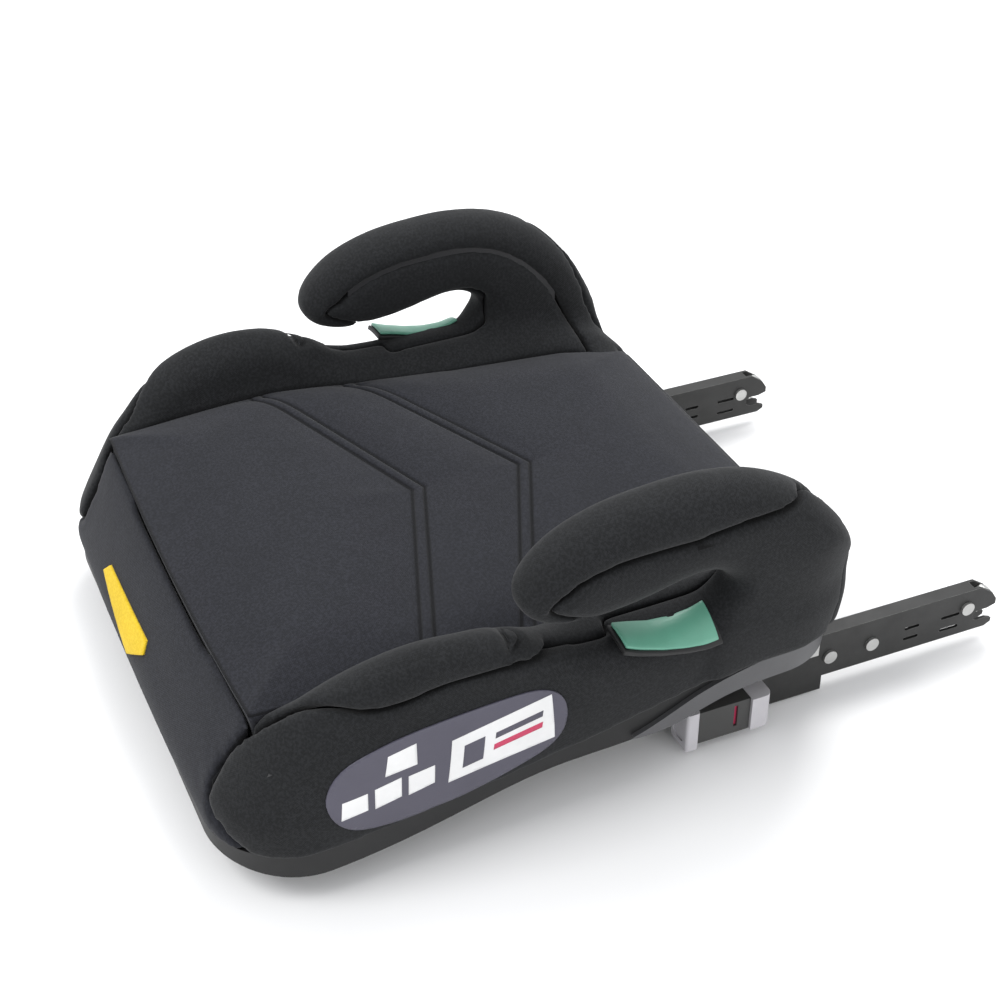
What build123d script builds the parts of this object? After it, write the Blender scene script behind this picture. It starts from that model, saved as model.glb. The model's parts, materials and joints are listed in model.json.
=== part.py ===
from build123d import *
import os
from math import cos, radians, sin

# Child's booster seat with two sliding anchor arms, in millimetres.
# The front faces -Y, +Z is up, and the origin is under the middle of the seat, on the floor.

# ---------------------------------------------------------------- driving dimensions
anchor_spacing = 280.0      # between the centre planes of the two arms
front_y = -193.0            # front of the body
rear_y = 200.0              # rear of the body
half_width_mid = 180.0      # half the width of the base at y = 0
toe_in = 0.061              # the base narrows by this much per millimetre towards the rear
flare = 10.0                # the covers lean out by this much up to armrest height
front_corner = 56.0         # plan radii of the corners
rear_corner = 50.0
seat_height = 115.0         # top of the seat cushion
armrest_height = 203.0      # top of the armrests

# ---------------------------------------------------------------- clearances and walls
wall = 3.0                  # moulded plastic walls
gap = 0.3                   # between pieces of one body
run_gap = 0.5               # between pieces that slide on each other
pin_gap = 0.05              # radial clearance on the hook's pivot
big = 500.0                 # longer than the seat, for cuts that run right through

# ---------------------------------------------------------------- heights of the base
pan_bottom = 0.0
deck_rear = 48.0            # underside of the base at the rear and over the arm channels
shell_bottom = deck_rear + wall + 1.5
shell_top = 88.0
pad_top = 97.7
cover_thickness = 9.0
rim_inset = 4.0             # the base's rim stands this far inside the covers
cover_split_x = 143.0       # where the front panel meets the side panels
rear_split_x = 118.0        # where the rear panel meets the side panels
front_seam_z = 107.0
rear_seam_z = 100.0
armrest_seam_z = 126.0      # the armrest covers stand on the bolsters here

# Profiles seen from the side, as (y, z)
deck_line = [(front_y, 27), (-63, 28), (-3, 37), (72, 38), (110, 46), (135, deck_rear), (rear_y, deck_rear)]
hem_line = [(front_y, 35), (-150, 37), (-93, 39), (-34, 46), (20, 53), (66, 64), (98, 72), (rear_y, 72)]
bolster_line = [
    (-163, 98), (-139, 117), (-114, 135), (-80, 146), (-46, 145), (-23, 136),
    (-3, 123), (14, 119), (60, 119),
]
side_seam_line = [(front_y, 112), (-119, 119), (-65, 124), (-20, 122), (14, 119), (60, 119)]
hook_under = [(97, armrest_seam_z), (101, 136), (92, 147), (75, 149), (44, 142), (14, 139), (-5, 141)]
hook_tip = (-22, 157)
hook_top = [
    (-16, 172), (2, 188), (30, 198), (84, armrest_height), (120, 197), (153, 179), (190, armrest_seam_z),
]

# Plan of the seat cushion's edge, as (distance in from the covers' side, y)
edge_from_side = [(48, -160), (40, -107), (37, -52), (48, 11), (57, 68), (58, 148), (69, rear_y - 10)]
top_half_width = half_width_mid + flare
seat_edge = [(top_half_width - inwards, y) for inwards, y in edge_from_side]

# ---------------------------------------------------------------- pan and arm channels
arm_x = anchor_spacing / 2
channel_half = 15.0
pan_half_width = arm_x - channel_half
pan_front = front_y + 48.0
pan_rear = rear_y - 35.0
pan_corner = 25.0
channel_front = -20.0

# ---------------------------------------------------------------- anchor arms
arm_half = 5.0
sheet = 2.0
arm_top = 44.0
arm_bottom = 12.0
root_bottom = 1.5
root_front = 97.0
root_rear = 196.0
tip_y = 322.0
pivot = (300.0, 31.0)
bar_seat = (309.3, 22.5)
mouth_radius = 3.7
rivet_places = [(200.0, 26.0), (230.0, 26.0)]
rivet_head = 4.5
rivet_shank = 2.5
head_height = 1.8

rail_half = channel_half - run_gap
rail_sheet = 1.5
rail_front = channel_front + 5.0
rail_rear = 185.0
rail_top = deck_rear
lip_reach = 4.0
lip_top = 40.0
shoe_front = 110.0
shoe_length = 60.0

# ---------------------------------------------------------------- release unit
unit_inner = arm_x + arm_half
housing_front = 99.8
housing_rear = 134.0
housing_low = 7.0
housing_high = 30.2
housing_outer = unit_inner + 18.5
housing_wall = 1.5
cap_front = 91.0
cap_rear = 148.0
cap_wall = 1.5
cap_low = housing_low - run_gap - cap_wall
cap_high = housing_high + run_gap + cap_wall
cap_outer = housing_outer + run_gap + cap_wall
window_y = 124.6
window_width = 2.4
window_low = 12.0
window_high = 27.5
flag_sheet = 1.4
coil_radius = 2.8
coil_wire = 0.4
coil_turns = 7


def half_width(y):
    """Half the width of the base at y."""
    return half_width_mid - toe_in * y


def plan(inset, rear_half, front_half):
    """Rounded plan of the body, drawn in by inset, for a sketch."""
    Polygon(
        (-front_half + inset, front_y + inset),
        (front_half - inset, front_y + inset),
        (rear_half - inset, rear_y - inset),
        (-rear_half + inset, rear_y - inset),
        align=None,
    )
    fillet(vertices().group_by(Axis.Y)[0], radius=front_corner - inset)
    fillet(vertices().group_by(Axis.Y)[-1], radius=rear_corner - inset)


def band(lower, upper, x_from=-big, x_to=big):
    """Solid between two side profiles, each a list of (y, z) joined by a curve."""
    with BuildPart() as solid:
        with BuildSketch(Plane.YZ.offset(x_from)):
            with BuildLine():
                Spline(*lower)
                Spline(*upper)
                Line(lower[0], upper[0])
                Line(lower[-1], upper[-1])
            make_face()
        extrude(amount=x_to - x_from)
    return solid.part


def level(z):
    """A flat side profile, as long as the body."""
    return [(front_y, z), (0, z), (rear_y, z)]


def block(x_range, y_range, z_range):
    """Box between two limits on each axis."""
    sizes = [limits[1] - limits[0] for limits in (x_range, y_range, z_range)]
    with BuildPart() as solid:
        with Locations((x_range[0], y_range[0], z_range[0])):
            Box(*sizes, align=(Align.MIN, Align.MIN, Align.MIN))
    return solid.part


def envelope(inset):
    """The covered body: its sides lean out towards the armrests and its front slopes back."""
    lower_z, upper_z = 20.0, 150.0
    slope_foot, slope_head = 50.0, front_seam_z
    slope_back = 32.0
    with BuildPart() as solid:
        with BuildSketch(Plane.XY.offset(lower_z)):
            plan(inset, half_width(rear_y), half_width(front_y))
        with BuildSketch(Plane.XY.offset(upper_z)):
            plan(inset, top_half_width, top_half_width)
        loft()
        with BuildSketch(Plane.YZ):
            with BuildLine():
                Polyline(
                    (front_y + inset, 0),
                    (front_y + inset, slope_foot),
                    (front_y + inset + slope_back, slope_head),
                    (front_y + inset + slope_back, big),
                    (big, big),
                    (big, 0),
                    close=True,
                )
            make_face()
        extrude(amount=big, both=True, mode=Mode.INTERSECT)
    return solid.part


def base_prism(inset):
    """Upright prism on the plan of the base."""
    with BuildPart() as solid:
        with BuildSketch(Plane.XY):
            plan(inset, half_width(rear_y), half_width(front_y))
        extrude(amount=big)
    return solid.part


def tray_volume(inset):
    """Outside of the base tray, or its inside when drawn in by the wall's thickness."""
    floor = [(y, z + inset) for y, z in deck_line]
    with BuildPart() as solid:
        add(base_prism(rim_inset + inset))
        add(band(floor, level(big)), mode=Mode.INTERSECT)
        with BuildSketch(Plane.XY.offset(pan_bottom + inset)):
            with Locations((0, (pan_front + pan_rear) / 2)):
                RectangleRounded(
                    2 * (pan_half_width - inset), pan_rear - pan_front - 2 * inset, pan_corner - inset
                )
        extrude(amount=deck_rear - pan_bottom)
        for side in (-1, 1):
            with BuildSketch(Plane.XY.offset(0)):
                with Locations((side * arm_x, channel_front - inset)):
                    Rectangle(2 * (channel_half + inset), big, align=(Align.CENTER, Align.MIN))
            extrude(amount=deck_rear + inset, mode=Mode.SUBTRACT)
    return solid.part


def screw(length, shank, head, head_size):
    """Pan-head screw pointing up, with its head's underside at z = 0."""
    with BuildPart() as solid:
        Cylinder(shank, length, align=(Align.CENTER, Align.CENTER, Align.MIN))
        Cylinder(head, head_size, align=(Align.CENTER, Align.CENTER, Align.MAX))
    return solid.part


def save(piece, name):
    """Label a finished sub-part and write it."""
    piece.label = name
    export_step(piece, f"parts/{name}.step")


os.makedirs("parts", exist_ok=True)
skin = envelope(0) - envelope(cover_thickness)
covered = band(hem_line, level(big))

# ---------------------------------------------------------------- base tray
boss_radius = 7.0
boss_hole = 2.1
boss_top = shell_bottom - gap
boss_x = pan_half_width - 30
boss_places = [(x, y) for x in (-boss_x, boss_x) for y in (pan_front + 35, 10, pan_rear - 35)]
rail_screw_places = [(side * arm_x, y) for side in (-1, 1) for y in (15, 165)]
screw_head = 5.0
counterbore_depth = 6.0
drain_slots = [(0, y) for y in (-75, -35, 45, 85)]

with BuildPart() as base_tray:
    add(tray_volume(0))
    add(tray_volume(wall), mode=Mode.SUBTRACT)
    hem_under = [(y, z - gap) for y, z in hem_line]
    add(band(level(0), hem_under), mode=Mode.INTERSECT)
    with BuildSketch(Plane.XY.offset(pan_bottom)):
        with Locations(*boss_places):
            Circle(boss_radius)
    extrude(amount=boss_top - pan_bottom)
    with BuildSketch(Plane.XY.offset(pan_bottom)):
        with Locations(*boss_places):
            Circle(screw_head + 0.5)
    extrude(amount=counterbore_depth, mode=Mode.SUBTRACT)
    with BuildSketch(Plane.XY.offset(pan_bottom)):
        with Locations(*boss_places):
            Circle(boss_hole)
    extrude(amount=big, mode=Mode.SUBTRACT)
    with BuildSketch(Plane.XY.offset(pan_bottom)):
        with Locations(*drain_slots):
            SlotOverall(90, 10)
    extrude(amount=wall, mode=Mode.SUBTRACT)
    with BuildSketch(Plane.XY.offset(deck_rear)):
        with Locations(*rail_screw_places):
            Circle(boss_hole)
    extrude(amount=wall, mode=Mode.SUBTRACT)
    for rib_y in (-55, 65):
        add(block((-pan_half_width + 1, pan_half_width - 1), (rib_y - 1.5, rib_y + 1.5), (4, 30)))
save(base_tray.part, "base_tray")

# ---------------------------------------------------------------- grey trim round the rear
trim_low = [(50, 39.5), (80, 39.8), (110, 47), (135, 49), (rear_y + 5, 49)]
trim_high = [(50, 40.5), (78, 50), (94, 56), (110, 60), (135, 64), (rear_y + 5, 64)]
with BuildPart() as base_trim:
    add(base_prism(1.0) - base_prism(rim_inset))
    add(band(trim_low, trim_high), mode=Mode.INTERSECT)
save(base_trim.part, "base_trim")

# ---------------------------------------------------------------- seat shell
shell_inset = cover_thickness + 3.0
shell_rim = rim_inset + wall + 1.0
hollow = envelope(shell_inset + wall) & base_prism(shell_rim + wall)
with BuildPart() as seat_shell:
    add(envelope(shell_inset) & base_prism(shell_rim))
    add(block((-big, big), (-big, big), (shell_bottom, shell_top)), mode=Mode.INTERSECT)
    add(hollow & block((-big, big), (-big, big), (0, shell_top - wall)), mode=Mode.SUBTRACT)
    for rib_x in (-60, 0, 60):
        add(block((rib_x - 1.2, rib_x + 1.2), (-140, 175), (70, shell_top - 1)))
    with BuildSketch(Plane.XY.offset(shell_bottom)):
        with Locations(*boss_places):
            Circle(boss_radius)
    extrude(amount=shell_top - shell_bottom - 1)
    with BuildSketch(Plane.XY.offset(shell_bottom)):
        with Locations(*boss_places):
            Circle(boss_hole)
    extrude(amount=20, mode=Mode.SUBTRACT)
save(seat_shell.part, "seat_shell")

# ---------------------------------------------------------------- screws from the tray into the shell
shell_screw = screw(shell_bottom - pan_bottom + 6, boss_hole - 0.1, screw_head, 2.5)
screw_seat = pan_bottom + counterbore_depth
with BuildPart() as shell_screws:
    for x, y in boss_places:
        with Locations((x, y, screw_seat)):
            add(shell_screw)
save(shell_screws.part, "shell_screws")

# ---------------------------------------------------------------- armrest cores
core_half = 8.0
core_x = top_half_width - 29.0
armrest_x = top_half_width - 19.5
armrest_half = 21.0
core_front = 112.0
core_rear = 155.0
core_profile = [
    (core_front, shell_top + gap), (core_front, 152), (84, 162), (20, 156), (6, 160), (6, 176),
    (30, 186), (84, 191), (116, 184), (138, 172), (core_rear, 154), (core_rear, shell_top + gap),
]


def core_solid(side, margin):
    """Rigid core of one armrest, or with a margin the hollow that it sits in."""
    with BuildPart() as solid:
        with BuildSketch(Plane.YZ.offset(side * core_x - core_half - margin)):
            with BuildLine():
                Polyline(*core_profile, close=True)
            make_face()
            if margin:
                offset(amount=margin, kind=Kind.INTERSECTION)
        extrude(amount=2 * (core_half + margin))
    return solid.part


# ---------------------------------------------------------------- soft covers and foam
slot_front = 29.0
slot_rear = 91.0
guide_inner = top_half_width - 18.0
guide_outer = top_half_width + 1.0
guide_top = 119.0
guide_ends = [(slot_front + 1, 117.0), (slot_rear - 1, 107.0)]
insert_ends = [(slot_front + 7, 117.0), (slot_rear - 3, 107.0)]
insert_sheet = 2.0
guide_floor = 104.0
fill_gap = cover_thickness + gap
above_seam = block((-big, big), (95, big), (armrest_seam_z - gap, big))
seam_room = (envelope(0) - envelope(fill_gap)) & block((-big, big), (-big, big), (0, front_seam_z + gap))


def seat_outline(reach):
    """Closed outline of the cushion, pushed out by reach, for a sketch."""
    right = [(x + reach, y) for x, y in seat_edge]
    left = [(-x, y) for x, y in reversed(right)]
    Polygon(*right, *left, align=None)


def guide_pocket(side):
    """Room that the covers leave for one belt guide."""
    inner, outer = side * guide_inner, side * big
    return block((min(inner, outer), max(inner, outer)), (slot_front, slot_rear), (guide_floor, 140))


def side_zone(side):
    """Everything outside the front and rear panels on one side."""
    corners = [
        (side * cover_split_x, -big), (side * cover_split_x, 0), (side * rear_split_x, 100),
        (side * rear_split_x, big), (side * big, big), (side * big, -big),
    ]
    with BuildPart() as solid:
        with BuildSketch(Plane.XY):
            Polygon(*corners, align=None)
        extrude(amount=big)
    return solid.part


with BuildPart() as foam_pad:
    with BuildSketch(Plane.XY.offset(shell_top + gap)):
        seat_outline(-2)
    extrude(amount=pad_top - shell_top - 2 * gap)
    add(envelope(fill_gap), mode=Mode.INTERSECT)
save(foam_pad.part, "foam_pad")

cushion_crown = 6.0
with BuildPart() as seat_cover:
    with BuildSketch(Plane.XY.offset(pad_top)):
        seat_outline(-gap)
    extrude(amount=seat_height - cushion_crown - pad_top)
    with BuildSketch(Plane.XY.offset(seat_height - cushion_crown)):
        seat_outline(-gap)
    extrude(amount=cushion_crown, taper=60)
    add(seam_room, mode=Mode.SUBTRACT)
save(seat_cover.part, "seat_cover")

with BuildPart() as front_cover:
    add(skin)
    add(covered, mode=Mode.INTERSECT)
    front_room = block((-cover_split_x + gap, cover_split_x - gap), (-big, -100), (0, front_seam_z))
    add(front_room, mode=Mode.INTERSECT)
save(front_cover.part, "front_cover")

with BuildPart() as rear_cover:
    add(skin)
    add(covered, mode=Mode.INTERSECT)
    add(block((-rear_split_x + gap, rear_split_x - gap), (100, big), (0, rear_seam_z)), mode=Mode.INTERSECT)
save(rear_cover.part, "rear_cover")

rear_rise = [(86, 121), (98, armrest_seam_z), (rear_y, armrest_seam_z)]
below_seam = band(level(0), side_seam_line + rear_rise)

for side, hand in ((1, "left"), (-1, "right")):
    with BuildPart() as side_cover:
        add(skin)
        add(covered, mode=Mode.INTERSECT)
        add(side_zone(side), mode=Mode.INTERSECT)
        add(below_seam, mode=Mode.INTERSECT)
        add(above_seam, mode=Mode.SUBTRACT)
        add(guide_pocket(side), mode=Mode.SUBTRACT)
    save(side_cover.part, f"side_cover_{hand}")

    with BuildPart() as bolster_cover:
        add(envelope(fill_gap))
        add(band(level(shell_top + gap), bolster_line + rear_rise), mode=Mode.INTERSECT)
        add(above_seam, mode=Mode.SUBTRACT)
        with BuildSketch(Plane.XY):
            edge = [(side * (x + gap), y) for x, y in seat_edge]
            last_x, last_y = edge[-1]
            Polygon(*edge, (last_x, big), (side * big, big), (side * big, edge[0][1]), align=None)
        extrude(amount=big, mode=Mode.INTERSECT)
        add(core_solid(side, gap), mode=Mode.SUBTRACT)
        add(guide_pocket(side), mode=Mode.SUBTRACT)
    save(bolster_cover.part, f"bolster_cover_{hand}")

    with BuildPart() as armrest_cover:
        with BuildSketch(Plane.YZ.offset(side * armrest_x - armrest_half)):
            with BuildLine():
                Spline(*hook_under)
                ThreePointArc(hook_under[-1], hook_tip, hook_top[0])
                Spline(*hook_top)
                Line(hook_top[-1], hook_under[0])
            make_face()
        extrude(amount=2 * armrest_half)
        crown_height = 2 * (armrest_height - armrest_seam_z)
        with BuildSketch(Plane.XZ):
            with Locations((side * armrest_x, armrest_height)):
                RectangleRounded(2 * armrest_half, crown_height, 20, align=(Align.CENTER, Align.MAX))
        extrude(amount=big, both=True, mode=Mode.INTERSECT)
        with BuildSketch(Plane.XY.offset(armrest_seam_z)):
            plan(0, top_half_width + 2, top_half_width + 2)
        extrude(amount=100, mode=Mode.INTERSECT)
        add(core_solid(side, gap), mode=Mode.SUBTRACT)
    save(armrest_cover.part, f"armrest_cover_{hand}")

    with BuildPart() as armrest_core:
        add(core_solid(side, 0))
    save(armrest_core.part, f"armrest_core_{hand}")

    # belt guide: a dark body in the pocket, with a green insert over it that twists outwards
    body_x = side * (guide_inner + gap)
    with BuildPart() as guide_body:
        for y, outer_z in guide_ends:
            with BuildSketch(Plane.XZ.offset(-y)):
                Polygon(
                    (body_x, guide_floor + gap), (side * (guide_outer - 5), guide_floor + gap),
                    (side * guide_outer, outer_z - 1), (side * guide_outer, outer_z), (body_x, guide_top),
                    align=None,
                )
        loft(ruled=True)
    save(guide_body.part, f"belt_guide_body_{hand}")

    insert_in, insert_out = guide_inner + 1.5, guide_outer - 0.5
    with BuildPart() as guide_insert:
        for y, outer_z in insert_ends:
            slope = (guide_top - outer_z) / (guide_outer - guide_inner - gap)
            inner_low = guide_top - slope * (insert_in - guide_inner) + 0.6
            outer_low = outer_z + slope * (guide_outer - insert_out) + 0.6
            with BuildSketch(Plane.XZ.offset(-y)):
                Polygon(
                    (side * insert_in, inner_low), (side * insert_out, outer_low),
                    (side * insert_out, outer_low + insert_sheet),
                    (side * insert_in, inner_low + insert_sheet),
                    align=None,
                )
        loft(ruled=True)
    save(guide_insert.part, f"belt_guide_{hand}")

# ---------------------------------------------------------------- sewn tag and instruction label
front_slope = Plane(origin=(0, front_y, 50), x_dir=(1, 0, 0), z_dir=(0, -57, 32))
tag_thickness = 1.0
with BuildPart() as front_tag:
    with BuildSketch(front_slope.offset(0.2)):
        with BuildLine():
            Polyline((-74, 10), (-68, 18), (16, 20), (19, 14), (-4, 1), close=True)
        make_face()
    extrude(amount=tag_thickness)
save(front_tag.part, "front_tag")

label_gap = 0.25
label_thickness = 0.6
label_centre = (-66, 76)
label_size = (132, 44)
label_tilt = 7.0
with BuildPart() as instruction_label:
    add(envelope(-label_gap - label_thickness) - envelope(-label_gap))
    with BuildSketch(Plane.YZ):
        with Locations(Location(label_centre, label_tilt)):
            SlotOverall(*label_size)
    extrude(amount=big, mode=Mode.INTERSECT)
save(instruction_label.part, "instruction_label")

# ---------------------------------------------------------------- anchor arms and what they carry
for side, hand in ((1, "left"), (-1, "right")):
    centre = side * arm_x

    def spread(near, far):
        """X limits of something from near to far, measured outwards from the seat's middle."""
        return (min(side * near, side * far), max(side * near, side * far))

    # steel rail under the tray, with lips that the shoes hang on
    rail_x = spread(arm_x - rail_half, arm_x + rail_half)
    rail_low = lip_top - rail_sheet
    with BuildPart() as anchor_rail:
        add(block(rail_x, (rail_front, rail_rear), (rail_low, rail_top)))
        inner_half = rail_half - rail_sheet
        inner_x = spread(arm_x - inner_half, arm_x + inner_half)
        add(block(inner_x, (rail_front, rail_rear), (lip_top, rail_top - rail_sheet)), mode=Mode.SUBTRACT)
        mouth_x = spread(arm_x - inner_half + lip_reach, arm_x + inner_half - lip_reach)
        add(block(mouth_x, (rail_front, rail_rear), (0, lip_top)), mode=Mode.SUBTRACT)
        with BuildSketch(Plane.XY.offset(rail_top)):
            with Locations((centre, 15), (centre, 165)):
                Circle(boss_hole)
        extrude(amount=-rail_sheet, mode=Mode.SUBTRACT)
    save(anchor_rail.part, f"anchor_rail_{hand}")

    # pressed arm: two side walls and a top web
    mouth_flare = 5.5
    with BuildPart() as anchor_arm:
        with BuildSketch(Plane.YZ.offset(centre - arm_half)):
            with BuildLine():
                Polyline(
                    (root_front, root_bottom), (root_rear, root_bottom), (root_rear, arm_bottom),
                    (tip_y - 6, arm_bottom), (tip_y - 1.5, arm_bottom + 2.5),
                    (tip_y - 1.5, bar_seat[1] - mouth_flare),
                    (tip_y - 6, bar_seat[1] - mouth_radius), (bar_seat[0], bar_seat[1] - mouth_radius),
                )
                ThreePointArc(
                    (bar_seat[0], bar_seat[1] - mouth_radius),
                    (bar_seat[0] - mouth_radius, bar_seat[1]),
                    (bar_seat[0], bar_seat[1] + mouth_radius),
                )
                Polyline(
                    (bar_seat[0], bar_seat[1] + mouth_radius), (tip_y - 6, bar_seat[1] + mouth_radius),
                    (tip_y, bar_seat[1] + mouth_flare), (tip_y, 32), (tip_y - 4, 38), (tip_y - 13, arm_top),
                    (root_front, arm_top), (root_front, root_bottom),
                )
            make_face()
        extrude(amount=2 * arm_half)
        inner = arm_half - sheet
        cavity_x = (centre - inner, centre + inner)
        add(block(cavity_x, (0, tip_y - 17), (0, arm_top - sheet)), mode=Mode.SUBTRACT)
        add(block(cavity_x, (tip_y - 17, big), (0, big)), mode=Mode.SUBTRACT)
        with BuildSketch(Plane.YZ):
            with Locations(*rivet_places, pivot):
                Circle(rivet_shank)
            with Locations((259.5, 29), (259.5, 21)):
                SlotOverall(11, 2.2)
            with Locations((288, 28.5), (288, 19)):
                SlotOverall(14, 2.2)
        extrude(amount=side * big, mode=Mode.SUBTRACT)
    save(anchor_arm.part, f"anchor_arm_{hand}")

    # rivets tie the walls; the third one is the hook's pivot
    def rivet(place, clearance):
        """Rivet across the arm at (y, z), its shank slimmer than the walls' holes by clearance."""
        with BuildPart() as solid:
            with BuildSketch(Plane.YZ.offset(centre - arm_half)):
                with Locations(place):
                    Circle(rivet_shank - clearance)
            extrude(amount=2 * arm_half)
            for head_x, way in ((centre - arm_half, -1), (centre + arm_half, 1)):
                with BuildSketch(Plane.YZ.offset(head_x)):
                    with Locations(place):
                        Circle(rivet_head)
                extrude(amount=way * head_height)
        return solid.part

    with BuildPart() as arm_rivets:
        for place in rivet_places:
            add(rivet(place, 0.01))
    save(arm_rivets.part, f"arm_rivets_{hand}")

    with BuildPart() as hook_pivot:
        add(rivet(pivot, 0.01))
    save(hook_pivot.part, f"hook_pivot_{hand}")

    # fork hook, open: the bar pushes its inner tooth and the outer finger drops behind the bar
    def polar(distance, angle):
        """Point at a distance and an angle from the pivot, as (y, z)."""
        turn = radians(angle)
        return (pivot[0] + distance * cos(turn), pivot[1] + distance * sin(turn))

    hook_half = arm_half - sheet - gap
    with BuildPart() as latch_hook:
        with BuildSketch(Plane.YZ.offset(centre - hook_half)):
            with Locations(pivot):
                Circle(6.2)
            with BuildLine():
                back, tip = polar(6, -5), polar(13.5, -26)
                Polyline(polar(0, 0), polar(6, -50), polar(13, -37), tip, back, close=True)
            make_face()
            with BuildLine():
                Polyline(
                    polar(0, 0), polar(6, 10), polar(15.5, 19), polar(16.5, 5), polar(19, 7),
                    polar(19.5, 22), polar(17, 32), polar(6, 60), close=True,
                )
            make_face()
            with Locations(pivot):
                Circle(rivet_shank + pin_gap, mode=Mode.SUBTRACT)
        extrude(amount=2 * hook_half)
    save(latch_hook.part, f"latch_hook_{hand}")

    # nylon shoes on both faces of the arm's root
    shoe_high = rail_top - rail_sheet - run_gap
    shoe_low = lip_top + gap
    shoe_outer = inner_half - run_gap
    shoe_y = (shoe_front, shoe_front + shoe_length)
    with BuildPart() as slide_shoes:
        add(block(spread(arm_x + arm_half, arm_x + shoe_outer), shoe_y, (shoe_low, shoe_high)))
        add(block(spread(arm_x - shoe_outer, arm_x - arm_half), shoe_y, (shoe_low, shoe_high)))
    save(slide_shoes.part, f"slide_shoes_{hand}")

    # release housing: a sleeve on the arm's outer face, with a window for the indicator
    with BuildPart() as release_housing:
        housing_length, housing_height = (housing_front, housing_rear), (housing_low, housing_high)
        add(block(spread(unit_inner, housing_outer), housing_length, housing_height))
        hollow_x = spread(unit_inner + housing_wall, housing_outer - housing_wall)
        hollow_z = (housing_low + housing_wall, housing_high - housing_wall)
        add(block(hollow_x, (0, big), hollow_z), mode=Mode.SUBTRACT)
        window_x = spread(housing_outer - housing_wall - 1, housing_outer + 1)
        window_span = (window_y - window_width / 2, window_y + window_width / 2)
        add(block(window_x, window_span, (window_low, window_high)), mode=Mode.SUBTRACT)
        spring_stop = housing_front + 13
        add(block(hollow_x, (spring_stop, spring_stop + 2), (hollow_z[0], 17.6)))
    save(release_housing.part, f"release_housing_{hand}")

    # release button: a dished cap in front, a bar through the housing and a rounded rear cap
    cap_x = spread(unit_inner + run_gap, cap_outer)
    bar_x = spread(unit_inner + housing_wall + run_gap, unit_inner + 12)
    spring_x = side * (unit_inner + 7)
    spring_z = 13.2
    with BuildPart() as release_button:
        add(block(cap_x, (cap_front, housing_front - gap), (cap_low, cap_high)))
        fillet(edges().filter_by(Axis.Z), radius=2)
        with BuildSketch(Plane.XZ.offset(-cap_front)):
            with Locations(((cap_x[0] + cap_x[1]) / 2, (cap_low + cap_high) / 2)):
                RectangleRounded(13, 20, 5)
        extrude(amount=-1.0, mode=Mode.SUBTRACT)
        sleeve_x = spread(unit_inner, housing_outer + run_gap)
        sleeve_z = (housing_low - run_gap, housing_high + run_gap)
        add(block(sleeve_x, (cap_front + 2.5, housing_front), sleeve_z), mode=Mode.SUBTRACT)
        add(block(bar_x, (cap_front + 2, cap_rear - 6), (18.4, 26)))
        add(block(cap_x, (housing_rear + gap, cap_rear), (housing_low, housing_high)))
        fillet(edges().filter_by(Axis.Z).group_by(Axis.Y)[-1], radius=5)
    save(release_button.part, f"release_button_{hand}")

    # return spring between the cap and the housing's stop
    spring_start = cap_front + 2.5 + gap
    spring_length = spring_stop - gap - spring_start
    with BuildPart() as release_spring:
        with BuildLine() as coil_line:
            Helix(
                pitch=spring_length / coil_turns, height=spring_length - 2 * coil_wire, radius=coil_radius,
                center=(spring_x, spring_start + coil_wire, spring_z), direction=(0, 1, 0),
            )
        with BuildSketch(Plane(coil_line.line @ 0, z_dir=coil_line.line % 0)):
            Circle(coil_wire)
        sweep(path=coil_line.line, is_frenet=True)
    save(release_spring.part, f"release_spring_{hand}")

    # two-colour indicator behind the window
    flag_x = spread(housing_outer - housing_wall - gap - flag_sheet, housing_outer - housing_wall - gap)
    flag_z = (window_low - 1, window_high + 0.6)
    flag_join = window_y - 2.8
    with BuildPart() as indicator_red:
        add(block(flag_x, (flag_join, flag_join + 5.4), flag_z))
    save(indicator_red.part, f"indicator_red_{hand}")
    with BuildPart() as indicator_green:
        add(block(flag_x, (flag_join - 6.8, flag_join), flag_z))
    save(indicator_green.part, f"indicator_green_{hand}")

    # screws holding the rail under the tray
    with BuildPart() as rail_screws:
        for y in (15, 165):
            with Locations((centre, y, rail_top - rail_sheet)):
                add(screw(rail_sheet + wall, boss_hole - 0.1, 4.0, 1.5))
    save(rail_screws.part, f"rail_screws_{hand}")
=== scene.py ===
import json
import math

import bmesh
import bpy
import numpy as np
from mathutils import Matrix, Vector
from mathutils.bvhtree import BVHTree


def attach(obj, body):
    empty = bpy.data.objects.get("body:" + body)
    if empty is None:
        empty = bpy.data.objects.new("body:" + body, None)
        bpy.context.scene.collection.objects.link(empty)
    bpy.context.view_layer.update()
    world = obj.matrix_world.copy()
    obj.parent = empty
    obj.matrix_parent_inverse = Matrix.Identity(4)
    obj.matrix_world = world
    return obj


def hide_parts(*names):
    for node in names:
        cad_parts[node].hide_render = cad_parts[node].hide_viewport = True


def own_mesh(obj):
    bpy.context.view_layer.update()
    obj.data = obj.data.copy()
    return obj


# Looks of a child's booster seat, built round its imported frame. Shapes are worked out in
# millimetres and written to Blender in metres. +X is the child's left, -Y the front, +Z up.

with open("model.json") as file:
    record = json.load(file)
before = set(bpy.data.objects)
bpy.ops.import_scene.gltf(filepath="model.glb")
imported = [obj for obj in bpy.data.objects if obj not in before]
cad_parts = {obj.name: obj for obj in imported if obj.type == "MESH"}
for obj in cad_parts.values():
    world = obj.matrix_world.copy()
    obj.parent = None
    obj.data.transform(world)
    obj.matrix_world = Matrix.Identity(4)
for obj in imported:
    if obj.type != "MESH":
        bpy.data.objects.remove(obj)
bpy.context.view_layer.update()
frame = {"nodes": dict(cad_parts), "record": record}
nodes = frame["nodes"]

MM = 0.001

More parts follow.
